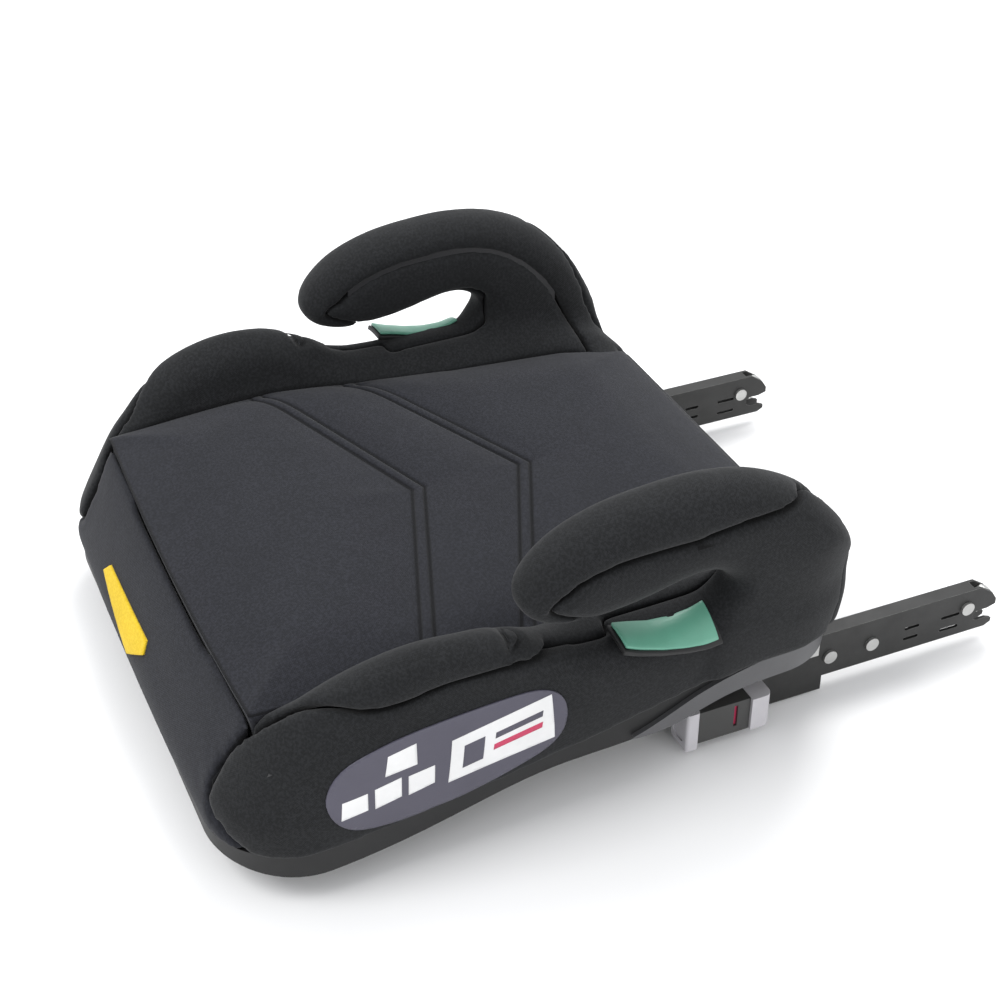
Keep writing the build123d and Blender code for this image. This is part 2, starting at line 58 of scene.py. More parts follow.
# ---------------------------------------------------------------- the covered body
FRONT, REAR = -193.0, 200.0
MID_HALF_WIDTH, TOE_IN = 180.0, 0.061       # half the width at y = 0, and its loss per millimetre
TOP_HALF_WIDTH = 190.5
LEAN_FROM, LEAN_TO = 36.0, 150.0            # heights between which the sides lean out
PLAN_RADIUS = 54.0
SLOPE_FOOT, SLOPE_HEAD, SLOPE_BACK = 46.0, 110.0, 33.0
FRONT_BOW = 3.0                             # how far the front's ends curve back
ARM_X, ARM_HALF, ARM_ROUND = 171.0, 21.0, 19.0
BED_ROUND, BOLSTER_ROUND, SIDE_ROUND = 9.0, 17.0, 6.0
BOLSTER_LEAN, BOLSTER_FOOT = 0.22, 109.0    # how its inner face leans out, from this height
BOLSTER_FILLET, ARM_FILLET = 10.0, 12.0
PANEL_DEPTH = 13.0
GRID = 3.0

# Side profiles, as (y, z), joined by smooth curves
BOLSTER = [
    (-178, 52), (-171, 86), (-160, 103), (-140, 121), (-112, 137), (-80, 146), (-48, 145), (-24, 136),
    (-4, 125), (16, 119.5), (60, 119.5), (100, 120), (150, 117), (182, 108), (192, 90), (194, 50), (0, 44),
]
ARMREST = [
    (96, 120), (103, 136), (93, 147), (76, 149), (44, 142), (14, 139), (-4, 141.5), (-17, 148), (-22, 159),
    (-15, 174), (3, 189), (30, 199), (60, 203), (88, 203.5), (118, 198), (146, 184), (168, 163), (184, 136),
    (194, 112), (198, 84), (196, 60), (110, 56), (94, 90),
]
HEM = [
    (FRONT, 35), (-150, 36.5), (-93, 39), (-34, 46), (20, 53), (66, 63), (98, 70), (130, 72), (REAR + 9, 72),
]

# Seams, each as one coordinate against another. Of the seat: x and z against y
SEAT_SEAM = [(-170, 140), (-160, 146), (-107, 150), (-52, 153), (11, 142), (68, 133), (148, 132), (202, 121)]
SEAM_HEIGHT = [(-165, 107), (-60, 110), (60, 109), (150, 104), (202, 99)]
FRONT_SEAM, FRONT_SEAM_BOW = -165.0, 4.0    # y in the middle, and how far its ends curve back
SEAM_END = 150.0                            # x at those ends
REAR_SEAM, REAR_HALF = 194.0, 126.0
# Between front and side panels: x against z
FRONT_SIDE_SEAM = [
    (30, 176), (40, 166), (47, 156), (50, 147), (54, 140), (60, 137), (72, 137), (87, 141), (109, 149),
]
# Between side and bolster: x, z and the seam plane's tilt in degrees against y
SIDE_X = [
    (-170, 140), (-160, 149), (-150, 157), (-140, 164), (-125, 174), (-110, 182), (-92, 187), (210, 187),
]
SIDE_TOP = [
    (-193, 84), (-170, 100), (-160, 109), (-150, 116), (-140, 121), (-125, 123.5), (-110, 122), (-92, 122.5),
    (-65, 127), (-37, 126.5), (-2, 121.5), (33, 118), (60, 110), (210, 104),
]
SIDE_TURN = [(-160, 0), (-150, 15), (-140, 32), (-125, 55), (-110, 74), (-92, 86), (-75, 90)]
CROWN_X = [(-193, 100), (-160, 128), (-125, 156), (-100, 168), (210, 174)]
SLOT_SEAM = 158.0                           # x of that seam inside the belt slot
SLOT_TOP, SLOT_REAR = 160.0, 106.0
# Width of the armrest's top strip against y: on its outer side, inner side and underside
STRIP_OUTER = [(-30, 13), (-8, 15), (17, 20), (46, 24), (75, 26), (110, 18), (135, 8), (150, -4), (210, -30)]
STRIP_INNER = [(-30, 15), (10, 18), (90, 19), (113, 21), (140, 25), (210, 29)]
STRIP_UNDER = [(-30, 13), (-10, 12), (10, 7), (28, -5), (210, -9)]
# Half way up the armrest: z against y
ARM_MIDDLE = [
    (-22, 158), (0, 163), (30, 170), (60, 175), (90, 173), (110, 163), (125, 149), (138, 127),
    (146, 60), (148, 0),
]

# Panels: the seam's rounding, and what the cloth simulation holds still
SEAM_ROUND, SEAM_GAP = 3.0, 0.4
HELD_SEAM, HELD_DEPTH, HELD_HEM = 4.0, 3.0, 3.0

# Seat cushion
TUCK = 2.5                                  # how far its neighbours reach under its edge
CROWN, CROWN_RUN = 10.0, 42.0               # its rise, and the distance from the seam that takes
EDGE_DROP = 0.5
CHEVRONS = [(-12.0, -0.36), (-4.0, -0.36), (58.0, -0.44), (66.0, -0.44)]     # apex y and slope of each seam
GROOVE_DEPTH, GROOVE_WIDTH = 1.7, 1.3       # the sewn line itself
PULL_DEPTH, PULL_WIDTH = 2.2, 11.0          # the dip that it draws in beside it
ROWS = [54, 8, 40, 8, 70]                   # grid rows between the guiding rows
COLUMNS = 121
UNDERSIDE = 88.6
FAR = 30.0                                  # seam distance given to vertices that no seam marks


def lowest(*fields):
    """Smallest of several fields, point by point."""
    least = fields[0]
    for field in fields[1:]:
        least = np.minimum(least, field)
    return least


def table(points, at):
    """Value at a place, read from a list of (place, value), straight between them."""
    xs, ys = zip(*points)
    return np.interp(at, xs, ys)


def curve(points, steps=6):
    """Closed smooth curve through the points (Catmull-Rom), as an array."""
    p = np.array(points, float)
    before, after, beyond = np.roll(p, 1, 0), np.roll(p, -1, 0), np.roll(p, -2, 0)
    out = []
    for t in np.arange(steps) / steps:
        a = 2 * p
        b = (after - before) * t
        c = (2 * before - 5 * p + 4 * after - beyond) * t**2
        d = (3 * p - before - 3 * after + beyond) * t**3
        out.append((a + b + c + d) / 2)
    return np.stack(out, 1).reshape(-1, 2)


def outline_distance(y, z, outline):
    """Signed distance to a closed outline, below zero inside it."""
    nearest = np.full(np.broadcast(y, z).shape, 1e9)
    inside = np.zeros(nearest.shape, bool)
    for (ay, az), (by, bz) in zip(outline, np.roll(outline, -1, 0)):
        ey, ez = by - ay, bz - az
        py, pz = y - ay, z - az
        along = np.clip((py * ey + pz * ez) / (ey * ey + ez * ez + 1e-12), 0, 1)
        nearest = np.minimum(nearest, (py - along * ey) ** 2 + (pz - along * ez) ** 2)
        crosses = (az > z) != (bz > z)
        inside ^= crosses & (py < ey * pz / (ez + 1e-12))
    return np.where(inside, -1, 1) * np.sqrt(nearest)


def rounded(a, b, radius):
    """Where both a and b are below zero, with the edge between them rounded."""
    outer = np.hypot(np.maximum(a + radius, 0), np.maximum(b + radius, 0))
    return outer + np.minimum(np.maximum(a, b) + radius, 0) - radius


def blended(a, b, width):
    """Union of a and b, with a fillet where they meet."""
    near = np.maximum(width - np.abs(a - b), 0) / width
    return np.minimum(a, b) - near * near * width / 4


def half_width(y, z):
    """Half the body's width."""
    lean = np.clip((z - LEAN_FROM) / (LEAN_TO - LEAN_FROM), 0, 1)
    base_half = MID_HALF_WIDTH - TOE_IN * y
    return base_half + (TOP_HALF_WIDTH - base_half) * lean


def plan_distance(x, y, z):
    """Distance to the body's leaning, rounded sides."""
    rise = np.clip((z - SLOPE_FOOT) / (SLOPE_HEAD - SLOPE_FOOT), 0, 1.3)
    front = FRONT + SLOPE_BACK * rise**1.15 + FRONT_BOW * (x / SEAM_END) ** 2
    across = np.abs(x) - half_width(y, z)
    along = np.maximum(front - y, y - REAR)
    return rounded(across, along, PLAN_RADIUS)


def body_distance(x, y, z):
    """Signed distance to the covered body, without the seat cushion, for x above zero."""
    sides = plan_distance(x, y, z)
    low = rounded(sides, z - table(SEAM_HEIGHT, y), BED_ROUND)
    inner = table(SEAT_SEAM, y) - 1.0 + BOLSTER_LEAN * (z - BOLSTER_FOOT)
    slab = np.maximum(x - half_width(y, z), inner - x)
    profile = outline_distance(y, z, curve(BOLSTER))
    bolster = rounded(rounded(profile, slab, BOLSTER_ROUND), sides, SIDE_ROUND)
    arm_profile = outline_distance(y, z, curve(ARMREST))
    arm = rounded(arm_profile, np.abs(x - ARM_X) - ARM_HALF, ARM_ROUND)
    arm = np.maximum(arm, sides - 1.5)
    return blended(blended(low, bolster, BOLSTER_FILLET), arm, ARM_FILLET), arm_profile


def regions(x, y, z, arm_profile):
    """How far each point is inside each cover panel, for x above zero."""
    turn = np.radians(table(SIDE_TURN, y))
    side = (x - table(SIDE_X, y)) * np.cos(turn) + (table(SIDE_TOP, y) - z) * np.sin(turn)
    side = np.minimum(side, x - table(CROWN_X, y))
    above = np.clip((z - 130.0) / 4.0, 0, 1) * np.clip((y + 34.0) / 6.0, 0, 1)
    behind = np.maximum(above, np.clip((y - 30.0) / 6.0, 0, 1))
    middle = np.where((z < SLOT_TOP) & (y < SLOT_REAR), SLOT_SEAM, ARM_X)
    side = np.maximum(side, (x - middle) * behind - 40.0 * (1 - behind))
    front = table(FRONT_SIDE_SEAM, z) - x
    front = np.minimum(front, front_seam(x) + TUCK - y)
    back_edge = ARM_X - 0.5 * np.maximum(y - 148.0, 0)
    reach = np.where(x > back_edge, table(STRIP_OUTER, y), table(STRIP_INNER, y))
    reach = np.where(z > table(ARM_MIDDLE, y), reach, table(STRIP_UNDER, y))
    strip = lowest(arm_profile + reach, 6.0 - arm_profile, np.maximum(z - 134.0, y - 103.0))
    rear = np.minimum(REAR_HALF - x, y - REAR_SEAM + TUCK)
    seat = lowest(table(SEAT_SEAM, y) - x, y - front_seam(x), REAR_SEAM - y) - TUCK
    return {
        "front": front,
        "rear": rear,
        "armrest": lowest(strip, -front, -rear),
        "side": lowest(side, -strip, -front, -rear),
        "bolster": lowest(-side, -strip, -front, -rear, -seat),
    }


def front_seam(x):
    """Where the seam between seat and front panel runs, as y."""
    return FRONT_SEAM + FRONT_SEAM_BOW * (x / SEAM_END) ** 2


# ---------------------------------------------------------------- meshes from distances
def surface(field, corner, step):
    """Closed mesh where a sampled field crosses zero: one vertex for each cell that the surface passes."""
    inside = field < 0
    shape = np.array(field.shape) - 1
    total, count = np.zeros((*shape, 3)), np.zeros(shape)
    for axis in range(3):
        low = [slice(None)] * 3
        high = [slice(None)] * 3
        low[axis], high[axis] = slice(0, -1), slice(1, None)
        a, b = field[tuple(low)], field[tuple(high)]
        crossed = (a < 0) != (b < 0)
        t = np.where(crossed, a / np.where(crossed, a - b, 1), 0)
        place = np.stack(np.indices(a.shape), -1).astype(float)
        place[..., axis] += t
        others = [k for k in range(3) if k != axis]
        for da in (0, 1):
            for db in (0, 1):
                part = [slice(0, n) for n in shape]
                part[others[0]] = slice(da, da + shape[others[0]])
                part[others[1]] = slice(db, db + shape[others[1]])
                total += place[tuple(part)] * crossed[tuple(part)][..., None]
                count += crossed[tuple(part)]
    used = count > 0
    number = np.full(shape, -1)
    number[used] = np.arange(used.sum())
    points = total[used] / count[used][:, None] * step + corner
    faces = []
    for axis in range(3):
        u, v = [(1, 2), (2, 0), (0, 1)][axis]
        low = [slice(1, -1)] * 3
        high = [slice(1, -1)] * 3
        low[axis], high[axis] = slice(0, -1), slice(1, None)
        a, b = inside[tuple(low)], inside[tuple(high)]
        for flag, turned in ((a & ~b, False), (~a & b, True)):
            at = np.argwhere(flag)
            at[:, u] += 1
            at[:, v] += 1
            corners = []
            for du, dv in ((-1, -1), (0, -1), (0, 0), (-1, 0)):
                c = at.copy()
                c[:, u] += du
                c[:, v] += dv
                corners.append(number[c[:, 0], c[:, 1], c[:, 2]])
            quad = np.stack(corners[::-1] if turned else corners, 1)
            faces.append(quad[(quad >= 0).all(1)])
    return points, np.concatenate(faces)


def relax(points, faces, rounds=3, share=0.5):
    """Evens a mesh out by moving each vertex towards the middle of its neighbours."""
    ways = np.concatenate([faces[:, [i, (i + 1) % 4]] for i in range(4)])
    ways = np.concatenate([ways, ways[:, ::-1]])
    for _ in range(rounds):
        total = np.zeros_like(points)
        np.add.at(total, ways[:, 0], points[ways[:, 1]])
        degree = np.bincount(ways[:, 0], minlength=len(points))[:, None]
        points = points + share * (total / np.maximum(degree, 1) - points)
    return points


def build(name, points, faces, material, attributes=None):
    """New mesh object from points in millimetres."""
    mesh = bpy.data.meshes.new(name)
    mesh.from_pydata((points * MM).tolist(), [], faces.tolist() if hasattr(faces, "tolist") else faces)
    for key, values in (attributes or {}).items():
        layer = mesh.attributes.new(key, "FLOAT", "POINT")
        layer.data.foreach_set("value", np.asarray(values, np.float32))
    mesh.polygons.foreach_set("use_smooth", [True] * len(mesh.polygons))
    shape = bmesh.new()
    shape.from_mesh(mesh)
    bmesh.ops.recalc_face_normals(shape, faces=shape.faces)
    shape.to_mesh(mesh)
    shape.free()
    piece = bpy.data.objects.new(name, mesh)
    bpy.context.scene.collection.objects.link(piece)
    piece.data.materials.append(material)
    return piece


def puff(piece, held, pressure=4.0, frames=20, cap=5.0, calm=3):
    """Fills a piece out between its held vertices by cloth under pressure, and applies the result.
    No vertex moves further than cap, and calm is how many times the movement is smoothed."""
    rest = np.array([v.co for v in piece.data.vertices])
    group = piece.vertex_groups.new(name="held")
    group.add(np.flatnonzero(held).tolist(), 1.0, "REPLACE")
    cloth = piece.modifiers.new("Cloth", "CLOTH")
    cloth.settings.vertex_group_mass = "held"
    cloth.settings.use_pressure = True
    cloth.settings.uniform_pressure_force = pressure
    cloth.settings.tension_stiffness = cloth.settings.compression_stiffness = 12
    cloth.settings.bending_stiffness = 1.5
    cloth.settings.quality = 4
    cloth.settings.effector_weights.gravity = 0
    cloth.collision_settings.use_collision = False
    cloth.point_cache.frame_end = frames
    for number in range(1, frames + 1):
        bpy.context.scene.frame_set(number)
    shown = piece.evaluated_get(bpy.context.evaluated_depsgraph_get())
    moved = np.array([v.co for v in shown.to_mesh().vertices]) - rest
    shown.to_mesh_clear()
    piece.modifiers.clear()
    piece.vertex_groups.clear()
    bpy.context.scene.frame_set(1)
    length = np.linalg.norm(moved, axis=1, keepdims=True)
    most = cap * MM
    moved *= np.minimum(1, most * np.tanh(length / most) / np.maximum(length, 1e-9))
    quads = np.array([face.vertices[:] for face in piece.data.polygons])
    moved[~held] = relax(moved, quads, calm, 0.6)[~held]
    piece.data.vertices.foreach_set("co", (rest + moved).ravel())
    piece.data.update()


def cover_panel(key, low, high):
    """Points, faces, seam distances and held vertices of one cover panel, a closed padded shell."""
    x, y, z = [np.arange(a, b + GRID, GRID) for a, b in zip(low, high)]
    gx, gy, gz = x[:, None, None], y[None, :, None], z[None, None, :]
    body, arm_profile = body_distance(np.abs(gx), gy, gz)
    region = regions(np.abs(gx), gy, gz, arm_profile)[key] + 0 * body
    outside = rounded(np.maximum(body, table(HEM, gy) - gz), SEAM_GAP - region, SEAM_ROUND)
    field = np.maximum(outside, -(body + PANEL_DEPTH))
    points, faces = surface(field, np.array(low, float), GRID)
    points = relax(points, faces)
    px, py, pz = np.abs(points[:, 0]), points[:, 1], points[:, 2]
    body, arm_profile = body_distance(px, py, pz)
    seam = regions(px, py, pz, arm_profile)[key]
    held = (seam < HELD_SEAM) | (body < -HELD_DEPTH) | (pz < table(HEM, py) + HELD_HEM)
    return points, faces, seam, held


def cover(name, key, low, high, material, slot, fill, mirrored):
    """One cover panel, or a left and right pair of them, blown up by cloth and tied to the frame."""
    points, faces, seam, held = cover_panel(key, low, high)
    hands = (("_left", 1), ("_right", -1)) if mirrored else (("", 1),)
    for hand, way in hands:
        piece = build(name + hand + "_fabric", points * (way, 1, 1), faces, material, {"seam": seam})
        puff(piece, held)
        finish_fabric(piece, slot, fill, name + hand)


def finish_fabric(piece, slot, fill, *replaced, levels=1):
    """Subdivides a fabric piece and ties it to the frame."""
    if levels:
        fine = piece.modifiers.new("Fine", "SUBSURF")
        fine.levels = fine.render_levels = levels
    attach(piece, "base")
    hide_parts(*replaced)


# ---------------------------------------------------------------- seat cushion
def row_line(index, x):
    """y of one of the cushion's guiding rows at x: front seam, four chevron seams, rear seam."""
    if index == 0:
        return front_seam(x)
    if index == len(CHEVRONS) + 1:
        return REAR_SEAM + 0 * x
    apex, slope = CHEVRONS[index - 1]
    return apex + slope * np.abs(x)


def seat_cushion(material):
    """Cushion whose rows follow the chevron seams, sunk along each of them."""
    across = np.linspace(-1, 1, COLUMNS)
    rows = []
    for index, count in enumerate(ROWS):
        for step in np.arange(count) / count:
            rows.append((index, step))
    rows.append((len(ROWS) - 1, 1.0))
    grid = np.zeros((len(rows), len(across), 3))
    seams = np.zeros((len(rows), len(across)))
    for r, (index, share) in enumerate(rows):
        half = np.full(len(across), SEAT_SEAM[0][1] + 0.0)
        for _ in range(12):
            x = across * half
            y = (1 - share) * row_line(index, x) + share * row_line(index + 1, x)
            half = table(SEAT_SEAM, y)
        edge = lowest(half - np.abs(x), y - front_seam(x), REAR_SEAM - y)
        groove = np.min([np.abs(y - row_line(k, x)) for k in range(1, len(CHEVRONS) + 1)], axis=0)
        rise = 1 - (1 - np.clip(edge / CROWN_RUN, 0, 1)) ** 2.4
        sunk = GROOVE_DEPTH * np.exp(-((groove / GROOVE_WIDTH) ** 2))
        sunk = sunk + PULL_DEPTH * np.exp(-((groove / PULL_WIDTH) ** 2))
        z = table(SEAM_HEIGHT, y) - EDGE_DROP + (CROWN + EDGE_DROP) * rise - sunk * np.clip(edge / 6.0, 0, 1)
        grid[r] = np.stack([x, y, z], -1)
        seams[r] = np.minimum(edge, groove)
    return close_below(grid, seams, material)


def close_below(grid, seams, material):
    """Cushion from a grid of top points, closed with walls and a flat underside, and its seam distances."""
    rows, columns = seams.shape
    top = np.arange(rows * columns).reshape(rows, columns)
    bottom = top + rows * columns
    under = grid * (0.985, 0.985, 0) + (0, 0, UNDERSIDE)
    points = np.concatenate([grid.reshape(-1, 3), under.reshape(-1, 3)])
    seam = np.concatenate([seams.ravel(), np.full(seams.size, FAR)])
    faces = [sheet_faces(top), sheet_faces(bottom)[:, ::-1]]
    last = rim(top)
    for share in (0.3, 0.65):
        edge = points[rim(top)] * (1 - share) + points[rim(bottom)] * share
        fresh = len(points) + np.arange(len(last))
        points = np.concatenate([points, edge])
        seam = np.concatenate([seam, np.full(len(last), FAR)])
        faces.append(np.stack([last, fresh, np.roll(fresh, -1), np.roll(last, -1)], 1))
        last = fresh
    faces.append(np.stack([last, rim(bottom), np.roll(rim(bottom), -1), np.roll(last, -1)], 1))
    return build("seat_cushion", points, np.concatenate(faces), material, {"seam": seam}), seam


def sheet_faces(number):
    """Quads of a grid of vertex numbers."""
    corners = [number[:-1, :-1], number[:-1, 1:], number[1:, 1:], number[1:, :-1]]
    return np.stack(corners, -1).reshape(-1, 4)


def rim(number):
    """Vertex numbers round the edge of a grid."""
    return np.concatenate([number[0], number[1:, -1], number[-1, -2::-1], number[-2:0:-1, 0]])


# ---------------------------------------------------------------- materials
def start(name):
    """New material, its node tree and its shader."""
    material = bpy.data.materials.new(name)
    material.use_nodes = True
    return material, material.node_tree, material.node_tree.nodes["Principled BSDF"]


def node(tree, kind, inputs=(), **settings):
    """New node; inputs are (socket, value or output to link)."""
    fresh = tree.nodes.new("ShaderNode" + kind)
    for key, value in settings.items():
        setattr(fresh, key, value)
    for key, value in inputs:
        if isinstance(value, bpy.types.NodeSocket):
            tree.links.new(value, fresh.inputs[key])
        else:
            fresh.inputs[key].default_value = value
    return fresh


def linear(colour):
    """sRGB 0-255 to the linear colour that shaders take."""
    return [(c / 255 / 12.92) if c < 10.3 else ((c / 255 + 0.055) / 1.055) ** 2.4 for c in colour] + [1.0]


def math_node(tree, operation, *values):
    """Output of a math node."""
    return node(tree, "Math", list(enumerate(values)), operation=operation).outputs[0]


def mix(tree, share, first, second):
    """Output of a colour mix."""
    return node(tree, "Mix", [(0, share), (6, first), (7, second)], data_type="RGBA").outputs[2]


def ramp(tree, value, low, high, to_low=0.0, to_high=1.0):
    """Output of a clamped map range."""
    pairs = list(enumerate((value, low, high, to_low, to_high)))
    return node(tree, "MapRange", pairs).outputs[0]


def noise(tree, coordinates, scale, detail=2.0, roughness=0.5):
    """Value of a noise texture."""
    inputs = [("Vector", coordinates), ("Scale", scale), ("Detail", detail), ("Roughness", roughness)]
    return node(tree, "TexNoise", inputs).outputs[0]


def weave(tree, coordinates, pitch):
    """Threads crossing over and under, on whichever plane the surface faces."""
    place = node(tree, "SeparateXYZ", [(0, coordinates)]).outputs
    facing = node(tree, "SeparateXYZ", [(0, node(tree, "NewGeometry").outputs["Normal"])]).outputs
    scaled = [math_node(tree, "MULTIPLY", place[k], math.pi / pitch) for k in range(3)]
    waves = [math_node(tree, "SINE", value) for value in scaled]
    total = None
    for k in range(3):
        crossing = math_node(tree, "MULTIPLY", waves[(k + 1) % 3], waves[(k + 2) % 3])
        weight = math_node(tree, "POWER", math_node(tree, "ABSOLUTE", facing[k]), 3.0)
        part = math_node(tree, "MULTIPLY", crossing, weight)
        total = part if total is None else math_node(tree, "ADD", total, part)
    return total


def fabric(name, colour, light, pitch=0.0007, seam_line=True):
    """Woven or knitted cover cloth: threads, speckle, soft folds, and a dark sunk line at each seam, whose
    darkness is painted shade.
    """
    material, tree, shader = start(name)
    place = node(tree, "TexCoord").outputs["Object"]
    threads = weave(tree, place, pitch)
    fibre = noise(tree, place, 1500.0, 3.0)
    folds = noise(tree, place, 28.0, 4.0, 0.6)
    speckle = ramp(tree, noise(tree, place, 620.0, 2.0), 0.42, 0.62)
    over = ramp(tree, threads, -1.0, 1.0, 0.0, 0.45)
    tone = math_node(tree, "ADD", over, math_node(tree, "MULTIPLY", speckle, 0.55))
    cloth = mix(tree, tone, linear(colour), linear(light))
    worn_and_seam_shade = mix(tree, ramp(tree, folds, 0.35, 0.7, 0.0, 0.22), cloth, linear([c * 0.78 for c in colour]))
    height = math_node(tree, "ADD", threads, math_node(tree, "MULTIPLY", fibre, 1.3))
    height = math_node(tree, "MULTIPLY", height, 0.25)
    if seam_line:
        # painted shade: along each seam the colour darkens towards 30 per cent of the cloth's, in place of
        # the shade that falls in the seam's groove; the same mask also sinks the bump there
        seam = node(tree, "Attribute", attribute_name="seam").outputs["Fac"]
        line = ramp(tree, math_node(tree, "ABSOLUTE", seam), 0.6, 1.7, 1.0, 0.0)
        worn_and_seam_shade = mix(tree, math_node(tree, "MULTIPLY", line, 0.8), worn_and_seam_shade, linear([c * 0.3 for c in colour]))
        height = math_node(tree, "SUBTRACT", height, math_node(tree, "MULTIPLY", line, 1.5))
    tree.links.new(worn_and_seam_shade, shader.inputs["Base Color"])
    tree.links.new(ramp(tree, fibre, 0.3, 0.7, 0.82, 0.97), shader.inputs["Roughness"])
    lumps = node(tree, "Bump", [("Height", folds), ("Strength", 0.12), ("Distance", 0.004)]).outputs[0]
    fine = [("Height", height), ("Strength", 0.35), ("Distance", 0.0006), ("Normal", lumps)]
    grain = node(tree, "Bump", fine)
    tree.links.new(grain.outputs[0], shader.inputs["Normal"])
    shader.inputs["Sheen Weight"].default_value = 0.08
    shader.inputs["Sheen Roughness"].default_value = 0.45
    shader.inputs["Specular IOR Level"].default_value = 0.2
    return material


def edges(tree, radius):
    """One along the edges of a shape, zero on its faces."""
    soft = node(tree, "Bevel", [("Radius", radius)], samples=4).outputs[0]
    true = node(tree, "NewGeometry").outputs["Normal"]
    alike = node(tree, "VectorMath", [(0, soft), (1, true)], operation="DOT_PRODUCT").outputs["Value"]
    return ramp(tree, alike, 0.8, 0.98, 1.0, 0.0)


def plastic(name, colour, roughness=0.45, grain=900.0, bump=0.12, wear=0.25):
    """Moulded plastic: fine texture, uneven gloss, scuffed and dusty along its edges."""
    material, tree, shader = start(name)
    place = node(tree, "TexCoord").outputs["Object"]
    texture = noise(tree, place, grain, 3.0)
    cloud = noise(tree, place, 22.0, 5.0, 0.65)
    edge = edges(tree, 0.0012)
    scuff = math_node(tree, "MULTIPLY", edge, ramp(tree, noise(tree, place, 160.0, 4.0), 0.4, 0.65))
    dull = linear([c * 0.86 for c in colour])
    shade = mix(tree, ramp(tree, cloud, 0.3, 0.7, 0.0, 0.5), linear(colour), dull)
    light = linear([min(255, c * 1.25 + 14) for c in colour])
    shade = mix(tree, math_node(tree, "MULTIPLY", scuff, wear), shade, light)
    tree.links.new(shade, shader.inputs["Base Color"])
    gloss = ramp(tree, cloud, 0.25, 0.75, roughness - 0.06, roughness + 0.08)
    rough = math_node(tree, "ADD", gloss, math_node(tree, "MULTIPLY", scuff, 0.15))
    tree.links.new(rough, shader.inputs["Roughness"])
    fine = node(tree, "Bump", [("Height", texture), ("Strength", bump), ("Distance", 0.0004)])
    tree.links.new(fine.outputs[0], shader.inputs["Normal"])
    return material


def metal(name, colour, metallic, roughness, grain=500.0, wear=0.5):
    """Pressed and coated or plated steel, rubbed brighter along its edges."""
    material, tree, shader = start(name)
    place = node(tree, "TexCoord").outputs["Object"]
    texture = noise(tree, place, grain, 4.0)
    cloud = noise(tree, place, 60.0, 5.0, 0.6)
    edge = edges(tree, 0.0007)
    rub = math_node(tree, "MULTIPLY", edge, ramp(tree, noise(tree, place, 240.0, 4.0), 0.35, 0.6))
    dull = linear([c * 0.8 for c in colour])
    shade = mix(tree, ramp(tree, cloud, 0.3, 0.7, 0.0, 0.6), linear(colour), dull)
    shade = mix(tree, math_node(tree, "MULTIPLY", rub, wear), shade, linear((150, 150, 148)))
    tree.links.new(shade, shader.inputs["Base Color"])
    rough = ramp(tree, cloud, 0.25, 0.75, roughness - 0.08, roughness + 0.1)
    tree.links.new(rough, shader.inputs["Roughness"])
    fine = node(tree, "Bump", [("Height", texture), ("Strength", 0.15), ("Distance", 0.0003)])
    tree.links.new(fine.outputs[0], shader.inputs["Normal"])
    shader.inputs["Metallic"].default_value = metallic
    return material


# ---------------------------------------------------------------- the pieces
cloth = fabric("knit_cover", (19, 20, 21), (37, 38, 40))
seat_cloth = fabric("seat_knit", (25, 26, 30), (41, 42, 48))

LOW, HIGH = (90, -207, 20), (204, 213, 215)
cover("side_cover", "side", LOW, HIGH, cloth, "side_fabric", 0.5, True)
cover("bolster_cover", "bolster", LOW, HIGH, cloth, "side_fabric", 0.7, True)
cover("armrest_cover", "armrest", LOW, HIGH, cloth, "side_fabric", 0.8, True)
cover("front_cover", "front", (-204, -207, 20), (204, -120, 125), seat_cloth, "seat_fabric", 0.5, False)
cover("rear_cover", "rear", (-150, 140, 50), (150, 213, 125), seat_cloth, "seat_fabric", 0.5, False)

cushion, cushion_seam = seat_cushion(seat_cloth)
puff(cushion, cushion_seam < 1.2, cap=3.0, calm=14)
finish_fabric(cushion, "seat_fabric", 0.7, "seat_cover", "foam_pad", levels=0)

SLOTS = {
    "base_plastic": plastic("base_moulding", (11, 11, 12), 0.55),
    "trim_plastic": plastic("trim_moulding", (80, 80, 82), 0.42),
    "shell_plastic": plastic("shell_moulding", (38, 38, 40), 0.5),
    "guide_plastic": plastic("green_guide", (96, 156, 134), 0.36),
    "button_plastic": plastic("button_caps", (188, 186, 190), 0.4),
    "housing_plastic": plastic("housing_moulding", (58, 58, 57), 0.45),
    "red_plastic": plastic("red_indicator", (190, 48, 88), 0.35),
    "green_plastic": plastic("green_indicator", (70, 150, 80), 0.35),
    "nylon": plastic("nylon_shoes", (205, 200, 188), 0.4),
    "label_film": plastic("label_film", (70, 68, 82), 0.35),
    "tag_fabric": fabric("tag_cloth", (205, 170, 30), (222, 192, 52), seam_line=False),
    "black_steel": metal("black_coated_steel", (34, 34, 33), 0.1, 0.5, wear=0.35),
    "zinc_steel": metal("zinc_plated_steel", (190, 190, 188), 0.9, 0.38, wear=0.2),
    "seat_fabric": seat_cloth,
    "side_fabric": cloth,
    "foam": fabric("foam_block", (150, 150, 140), (170, 170, 160), seam_line=False),
}


# ---------------------------------------------------------------- label, tag and belt guides
# Outlines: the label and its pictures as (y, z), the tag as (x, z)
LABEL = [
    (-136, 76), (-123, 95), (-92, 104), (-36, 108), (-10, 105), (1, 92), (-1, 71), (-18, 58), (-66, 45),
    (-111, 46), (-130, 57),
]
TAG = [(-74, 60), (-67, 67), (16, 69), (19, 62), (-5, 47)]


def covering(piece):
    """Tree of a piece's final surface, for laying thin pieces on it."""
    return BVHTree.FromObject(piece, bpy.context.evaluated_depsgraph_get())


